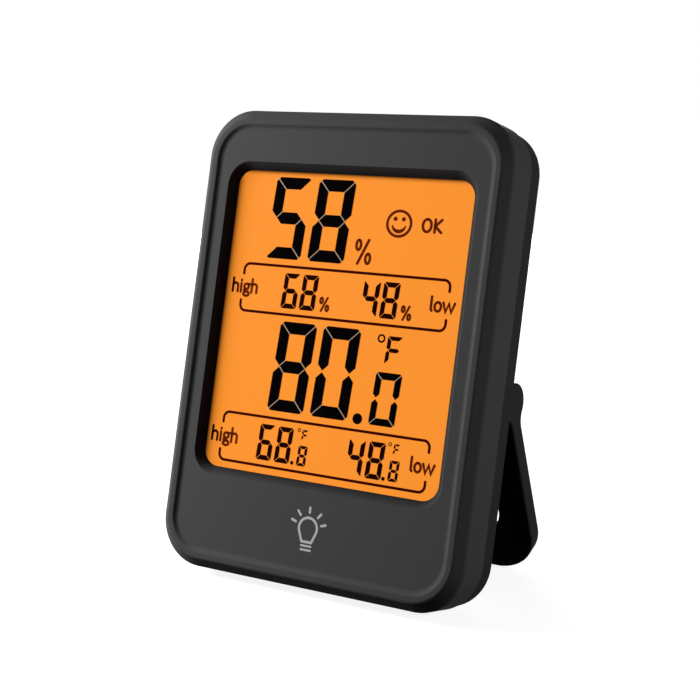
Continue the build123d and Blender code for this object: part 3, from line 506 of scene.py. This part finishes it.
# Each readout: its digits, the left end and foot of the first, the pitch, and a digit's width,
# height and stroke. One with a stroke above the fine one is black and shows the gaps.
readouts = {
    "humidity_now": ("58", -0.01617, 0.01461, 0.00864, 0.00726, 0.01412, 0.00204),
    "temperature_now": ("80", -0.01180, -0.01140, 0.00866, 0.00732, 0.01538, 0.00204),
    "temperature_tenths": ("0", 0.00827, -0.01140, 0.0, 0.00490, 0.00880, 0.00120),
    "humidity_high": ("68", -0.01170, 0.00620, 0.00372, 0.00310, 0.00606, 0.00085),
    "humidity_low": ("48", 0.00408, 0.00620, 0.00372, 0.00310, 0.00606, 0.00085),
    "temperature_high": ("68", -0.01285, -0.02003, 0.00372, 0.00305, 0.00614, 0.00085),
    "temperature_low": ("48", 0.00502, -0.02020, 0.00380, 0.00305, 0.00614, 0.00085),
    "temperature_high_tenths": ("8", -0.00460, -0.02003, 0.0, 0.00180, 0.00343, 0.00052),
    "temperature_low_tenths": ("8", 0.01315, -0.02010, 0.0, 0.00180, 0.00343, 0.00052),
    "unit_now": ("F", 0.00985, -0.00125, 0.0, 0.00285, 0.00468, 0.00070),
    "unit_high": ("F", -0.00415, -0.01570, 0.0, 0.00120, 0.00180, 0.00034),
    "unit_low": ("F", 0.01358, -0.01575, 0.0, 0.00120, 0.00180, 0.00034),
}
fine_stroke = 0.001
for name, (digits, left, foot, pitch, width, height, stroke) in readouts.items():
    large = stroke > fine_stroke
    gap = segment_gap if large else segment_gap / 2
    shapes, seams = segment_outlines(width, height, stroke, gap)
    bars, gap_lines = [], []
    for place, digit in enumerate(digits):
        parts = digit_parts[digit]
        digit_left = left + place * pitch
        bars += [slanted(shapes[part], digit_left, foot) for part in parts]
        shown_seams = [seam for pair, seam in seams.items() if set(pair) <= set(parts)]
        gap_lines += [slanted(seam, digit_left, foot) for seam in shown_seams]
    new_piece(name, partial(add_bars, bars=bars), ink_black if large else ink_dark)
    if large:
        draw_gaps = partial(add_lines, lines=gap_lines, width=gap, front=gap_front)
        new_piece(name + "_gaps", draw_gaps, gap_pale)

# Decimal dots and degree rings of the readouts, next to their digits.
# They are round electrodes of the same display, as dark as the large digits.
# A dot: its middle and radius. A ring: its middle, radius and line.
dots = [(0.00618, -0.01075, 0.00092), (-0.00543, -0.01970, 0.00033), (0.01236, -0.01985, 0.00033)]
rings = [
    (0.00884, 0.00290, 0.00058, 0.0003),
    (-0.00474, -0.01402, 0.00026, 0.00014),
    (0.01290, -0.01410, 0.00026, 0.00014),
]


def oval(x, z, across, upright, count=24):
    """Points all the way round an ellipse, for a closed line."""
    return arc(x, z, across, upright, 0, 360 - 360 / count, count - 1)


def point_marks(bm):
    """Filled dots and open rings."""
    add_bars(bm, [oval(x, z, radius, radius) for x, z, radius in dots])
    for x, z, radius, line in rings:
        add_ribbon(bm, oval(x, z, radius, radius), line, mark_front, mark_back, closed=True)


new_piece("point_marks", point_marks, ink_black)

# Brackets over and under the two rows of high and low readings.
# They are thin electrodes of the same display, and look brown when it is lit.
bracket_line = 0.00046
bracket_corner = 0.0011
bracket_drop = 0.0018
brackets = [(0.01338, 0.00513, -0.02, 0.0202), (-0.01269, -0.02105, -0.0204, 0.0201)]


def bracket_marks(bm):
    """For each row a line above and a line below it, whose ends turn towards the row."""
    for top, bottom, left, right in brackets:
        for height, way in ((top, -1), (bottom, 1)):
            turn_z, end_z = height + way * bracket_corner, height + way * bracket_drop
            turn_left, turn_right = left + bracket_corner, right - bracket_corner
            line = [(left, end_z)]
            line += arc(turn_left, turn_z, bracket_corner, -way * bracket_corner, 180, 90, 10)
            line += arc(turn_right, turn_z, bracket_corner, -way * bracket_corner, 90, 0, 10)
            line.append((right, end_z))
            add_ribbon(bm, line, bracket_line, mark_front, mark_back)


ink_brown = crystal("liquid crystal brown", (0.05, 0.003, 0.0015))
new_piece("bracket_marks", bracket_marks, ink_brown)

# Words and percent signs beside the readings, in plain round strokes.
# They are thin electrodes of the same display, and look rust brown when it is lit.
# Each letter: how far it moves the pen, and its strokes. The unit is the height of a tall letter.
letters = {
    "h": (0.62, [
        [(0.08, 0), (0.08, 1)],
        [(0.08, 0.42)] + arc(0.27, 0.44, 0.19, 0.2, 165, 0, 8) + [(0.46, 0)],
    ]),
    "i": (0.24, [[(0.08, 0), (0.08, 0.64)], [(0.08, 0.86), (0.08, 0.9)]]),
    "g": (0.58, [
        arc(0.25, 0.43, 0.17, 0.2, 0, 360, 20),
        [(0.13, 0.26), (0.08, 0.14), (0.2, 0.06), (0.38, 0.03)] + arc(0.27, -0.13, 0.21, 0.15, 60, -240, 18),
        [(0.38, 0.6), (0.52, 0.62)],
    ]),
    "l": (0.26, [[(0.08, 1), (0.08, 0.12), (0.14, 0.02)]]),
    "o": (0.56, [arc(0.25, 0.32, 0.2, 0.32, 90, 450, 24)]),
    "w": (0.8, [[(0.02, 0.64), (0.2, 0.0), (0.38, 0.6), (0.56, 0.0), (0.74, 0.64)]]),
    "O": (0.86, [arc(0.36, 0.48, 0.31, 0.48, 90, 450, 24)]),
    "K": (0.66, [[(0.08, 0), (0.08, 0.96)], [(0.54, 0.96), (0.1, 0.46), (0.56, 0)]]),
    "%": (1.0, [
        arc(0.16, 0.76, 0.13, 0.2, 90, 450, 16),
        arc(0.76, 0.22, 0.13, 0.2, 90, 450, 16),
        [(0.2, 0), (0.72, 0.98)],
    ]),
}
# Each word: its letters, the left end and foot, the height of a tall letter, the width share, the line
words = {
    "word_high_upper": ("high", -0.02220, 0.00834, 0.0023, 1.19, 0.00046),
    "word_low_upper": ("low", 0.01695, 0.00824, 0.0023, 1.25, 0.00046),
    "word_high_lower": ("high", -0.02260, -0.01785, 0.0024, 1.18, 0.00046),
    "word_low_lower": ("low", 0.01695, -0.01790, 0.0023, 1.24, 0.00046),
    "word_ok": ("OK", 0.01375, 0.02096, 0.00216, 1.17, 0.00048),
    "percent_now": ("%", 0.00175, 0.01490, 0.0041, 0.82, 0.0005),
    "percent_high": ("%", -0.00390, 0.00640, 0.0023, 0.88, 0.0004),
    "percent_low": ("%", 0.01187, 0.00630, 0.0023, 0.86, 0.0004),
}
ink_rust = crystal("thin stroke rust", (0.15, 0.018, 0.003))
for name, (text, pen, foot, tall, width_share, line) in words.items():
    strokes = []
    for letter in text:
        advance, letter_strokes = letters[letter]
        for stroke in letter_strokes:
            strokes.append([(pen + x * tall * width_share, foot + z * tall) for x, z in stroke])
        pen += advance * tall * width_share
    new_piece(name, partial(add_lines, lines=strokes, width=line, front=mark_front), ink_rust)

# Comfort face: a round face with two eyes and a smile, beside the OK.
# It is a thin electrode of the same display, with a smile that is thicker midway.
comfort_x, comfort_z, comfort_radius = 0.00944, 0.022, 0.00222
comfort_upright, comfort_line = 0.95 * comfort_radius, 0.00047
eye_spread, eye_radius = 0.35 * comfort_radius, 0.00037
smile_across, smile_upright = 0.58 * comfort_radius, 0.56 * comfort_radius
smile_drop, smile_end, smile_swell = 0.00005, 0.00022, 1.9
smile_turns = (195, 345)


def comfort_face(bm):
    """Ring, two eyes and a smile."""
    edge = oval(comfort_x, comfort_z, comfort_radius, comfort_upright, count=60)
    add_ribbon(bm, edge, comfort_line, mark_front, mark_back, closed=True)
    eye_z = comfort_z + eye_spread
    add_bars(bm, [oval(comfort_x + side * eye_spread, eye_z, eye_radius, eye_radius) for side in (-1, 1)])
    smile = arc(comfort_x, comfort_z - smile_drop, smile_across, smile_upright, *smile_turns, 20)
    add_ribbon(bm, smile, smile_end, mark_front, mark_back, swell=smile_swell)


new_piece("comfort_face", comfort_face, ink_rust)

# The rest of the display stack: two glasses, the rear film, a diffuser, the light guide with its
# reflector, and three lamps at its lower edge. All are held in a white moulded holder, and a
# rubber strip joins the glass to the board.
glass = smooth_sheet(
    "display glass", (0.85, 0.93, 0.9), streak_share=0.02, roughness=0.03, Transmission_Weight=1.0, IOR=1.52,
)
dress("front_glass", glass)
dress("rear_glass", glass)
dress("rear_polariser", smooth_sheet("rear film", (0.5, 0.2, 0.05), streak_share=0.05, roughness=0.4))
white_sheet = smooth_sheet("white sheet", (0.88, 0.87, 0.84), streak_share=0.03, roughness=0.6)
dress("light_diffuser", white_sheet)
dress("light_reflector", white_sheet)
dress("light_guide", smooth_sheet("light guide", (0.95, 0.8, 0.6), streak_share=0.05, roughness=0.1))
dress("backlight_lamps", plastic("lamp resin", (0.9, 0.7, 0.35), roughness=0.25, gloss=0.5))
dress("display_holder", plastic("white holder plastic", (0.8, 0.8, 0.78)))
strip_rubber = plastic("strip rubber", (0.16, 0.16, 0.18), grain_size=0.0001, mottle=0.4, roughness=0.8)
dress("connector_strip", strip_rubber)

# Circuit board with what is soldered on it: the controller under its resin dome, the clock
# crystal, capacitors, the humidity plate, the thermistor and two push switches. A foil pad and
# a spring strip join it to the touch mark.
solder_mask = plastic("green solder mask", (0.02, 0.14, 0.05), mottle=0.25, roughness=0.35, gloss=0.5)
dress("circuit_board", solder_mask)
dress("controller_chip", plastic("black resin", (0.01, 0.01, 0.01), roughness=0.3, gloss=0.5))
dress("capacitors", plastic("tan ceramic", (0.45, 0.3, 0.17), roughness=0.5))
dress("humidity_sensor", plastic("printed ceramic", (0.75, 0.74, 0.68), roughness=0.6))
dress("thermistor", plastic("dipped bead", (0.03, 0.12, 0.06), roughness=0.3, gloss=0.5))
switch_plastic = plastic("switch plastic", (0.02, 0.02, 0.022), roughness=0.4)
for node in ("switch_bodies", "unit_stem", "clear_stem"):
    dress(node, switch_plastic)

drawn, entry, leave = effect_group(
    "drawn metal", [("Colour", "colour"), ("Line width", "number"), ("Roughness", "number")],
    [("Colour", "colour"), ("Roughness", "number"), ("Height", "number")],
)
line_shade, line_roughness = 0.25, 0.15
lines = noise(drawn, entry.outputs["Line width"], detail=4)
drawn.links.new(tinted(drawn, entry.outputs["Colour"], lines, line_shade), leave.inputs["Colour"])
rougher = maths(drawn, "MULTIPLY", lines, line_roughness)
drawn.links.new(maths(drawn, "ADD", entry.outputs["Roughness"], rougher), leave.inputs["Roughness"])
drawn.links.new(lines, leave.inputs["Height"])


def metal(name, colour, roughness=0.3):
    """Plated or drawn metal of one colour."""
    values = {"Colour": (*colour, 1), "Line width": 0.0002, "Roughness": roughness}
    return surface(name, drawn, values, bump=0.000004, Metallic=1.0)


dress("clock_crystal", metal("crystal can", (0.75, 0.75, 0.76)))
dress("touch_pad", metal("copper foil", (0.72, 0.4, 0.25)))
dress("touch_strip", metal("spring strip", (0.6, 0.6, 0.6)))

# Battery cells and contacts: two small cells side by side, between nickel-plated sheet contacts.
# The contacts are pressed into slots of the tray.
dress("battery_cells", plastic("cell sleeve", (0.05, 0.08, 0.2), roughness=0.35, gloss=0.5))
nickel = metal("nickel plate", (0.72, 0.7, 0.66))
for node in ("positive_terminal", "negative_terminal", "contact_bridge"):
    dress(node, nickel)

# Back cover and battery door: near-black plastic with a coarser moulded texture than the front.
# The cover holds the tray, vents and hanging socket, and the door slides into it.
cover_black = (0.028, 0.028, 0.029)
coarse = {"grain_size": 0.0004, "bump": 0.00003}
dress("back_cover", plastic("textured cover plastic", cover_black, roughness=0.6, **coarse))
dress("battery_door", plastic("textured door plastic", cover_black, roughness=0.58, **coarse))

# Screws: four cross-head screws close the case, and four hold the board.
# Blackened steel, headed and rolled from wire.
screw_metal = metal("blackened steel", (0.12, 0.12, 0.125), roughness=0.4)
dress("case_screws", screw_metal)
dress("board_screws", screw_metal)

# Rear buttons: two small round caps that reach through the cover onto the switches.
# Moulded in near-black plastic, a little shinier than the cover.
button_plastic = plastic("button plastic", (0.03, 0.03, 0.031), roughness=0.45)
dress("unit_button", button_plastic)
dress("clear_button", button_plastic)

# Stand: the U-shaped leg that swings out on two moulded pins and props the case up.
# Smooth near-black plastic, hollow at the front of each leg.
dress("stand", plastic("smooth stand plastic", (0.026, 0.026, 0.027), roughness=0.5, bump=0.000004))

# Floor and backdrop: a pale plain floor in a white room. Camera rays see both paler than they light the
# object, and the floor's painted light rises with distance, so that it goes white where the lamps' light
# falls off, like a paper sweep. The floor keeps the object's shadow.
floor_reach = 3.0
shown_grey, bounce_grey = 0.3, 0.03
near_lift, far_lift = 0.88, 1.0
fade_to_white_start, fade_to_white_end = 0.05, 0.2
room_light = 0.05


def seen_directly(tree):
    """One for rays of the camera, and for what metal and glass show, and zero for light."""
    ray = tree.nodes.new("ShaderNodeLightPath")
    shown = maths(tree, "MAXIMUM", ray.outputs["Is Glossy Ray"], ray.outputs["Is Transmission Ray"])
    return maths(tree, "MAXIMUM", ray.outputs["Is Camera Ray"], shown)


mesh = bpy.data.meshes.new("floor")
near_edge = [(-floor_reach, -floor_reach, 0), (floor_reach, -floor_reach, 0)]
far_edge = [(floor_reach, floor_reach, 0), (-floor_reach, floor_reach, 0)]
mesh.from_pydata(near_edge + far_edge, [], [(0, 1, 2, 3)])
floor = bpy.data.objects.new("floor", mesh)
bpy.context.scene.collection.objects.link(floor)

pale = bpy.data.materials.new("pale floor")
pale.use_nodes = True
tree = pale.node_tree
shader = tree.nodes["Principled BSDF"]
shader.inputs["Roughness"].default_value = 0.9
shader.inputs["Specular IOR Level"].default_value = 0.0
shader.inputs["Emission Color"].default_value = (1, 1, 1, 1)
seen = seen_directly(tree)
grey = maths(tree, "ADD", maths(tree, "MULTIPLY", seen, shown_grey - bounce_grey), bounce_grey)
tree.links.new(grey, shader.inputs["Base Color"])
spot = tree.nodes.new("ShaderNodeTexCoord")
away = tree.nodes.new("ShaderNodeVectorMath")
away.operation = "LENGTH"
tree.links.new(spot.outputs["Object"], away.inputs[0])
# Painted light on the floor: its camera-seen glow rises from near the object to far away
rise = maths(tree, "SUBTRACT", away.outputs["Value"], fade_to_white_start)
rise = maths(tree, "DIVIDE", rise, fade_to_white_end - fade_to_white_start, clamp=True)
lift = maths(tree, "ADD", maths(tree, "MULTIPLY", rise, far_lift - near_lift), near_lift)
tree.links.new(maths(tree, "MULTIPLY", seen, lift), shader.inputs["Emission Strength"])
floor.data.materials.append(pale)

world = bpy.data.worlds.new("white room")
bpy.context.scene.world = world
world.use_nodes = True
tree = world.node_tree
backdrop = tree.nodes["Background"]
backdrop.inputs["Color"].default_value = (1, 1, 1, 1)
strength = maths(tree, "ADD", maths(tree, "MULTIPLY", seen_directly(tree), 1 - room_light), room_light)
tree.links.new(strength, backdrop.inputs["Strength"])

# Lights: one soft light close at the left front, a small one at the right, and one behind.
# All are square and point at the middle of the case.
light_aim = Vector((0, 0, 0.04))
# Each light: its place, the side of its square, and its power in watts
lights = {
    "key_light": ((-0.218, -0.106, 0.135), 0.1, 1.53),
    "side_light": ((0.16, 0.02, 0.056), 0.06, 0.11),
    "back_light": ((-0.3, 0.48, 0.1), 0.3, 4.2),
}
for name, (place, side, power) in lights.items():
    lamp = bpy.data.lights.new(name, "AREA")
    lamp.size = side
    lamp.energy = power
    holder = bpy.data.objects.new(name, lamp)
    bpy.context.scene.collection.objects.link(holder)
    holder.location = place
    holder.rotation_euler = (light_aim - Vector(place)).to_track_quat("-Z", "Y").to_euler()

# Camera: at the photograph's viewing angle, to the right of the object and a little above it.
# Its place and its turns in degrees are in the case's own space.
camera_place = Vector((0.129018, -0.212431, -0.003235))
camera_turns = (90.8439, -7.184, 30.2353)
camera_data = bpy.data.cameras.new("camera")
camera_data.lens = 76.97
camera_data.sensor_width = 36
camera = bpy.data.objects.new("camera", camera_data)
bpy.context.scene.collection.objects.link(camera)
camera_aim = Euler([radians(turn) for turn in camera_turns]).to_matrix().to_4x4()
camera.matrix_world = case_space @ Matrix.Translation(camera_place) @ camera_aim
bpy.context.scene.camera = camera
bpy.context.scene.view_settings.view_transform = "Standard"
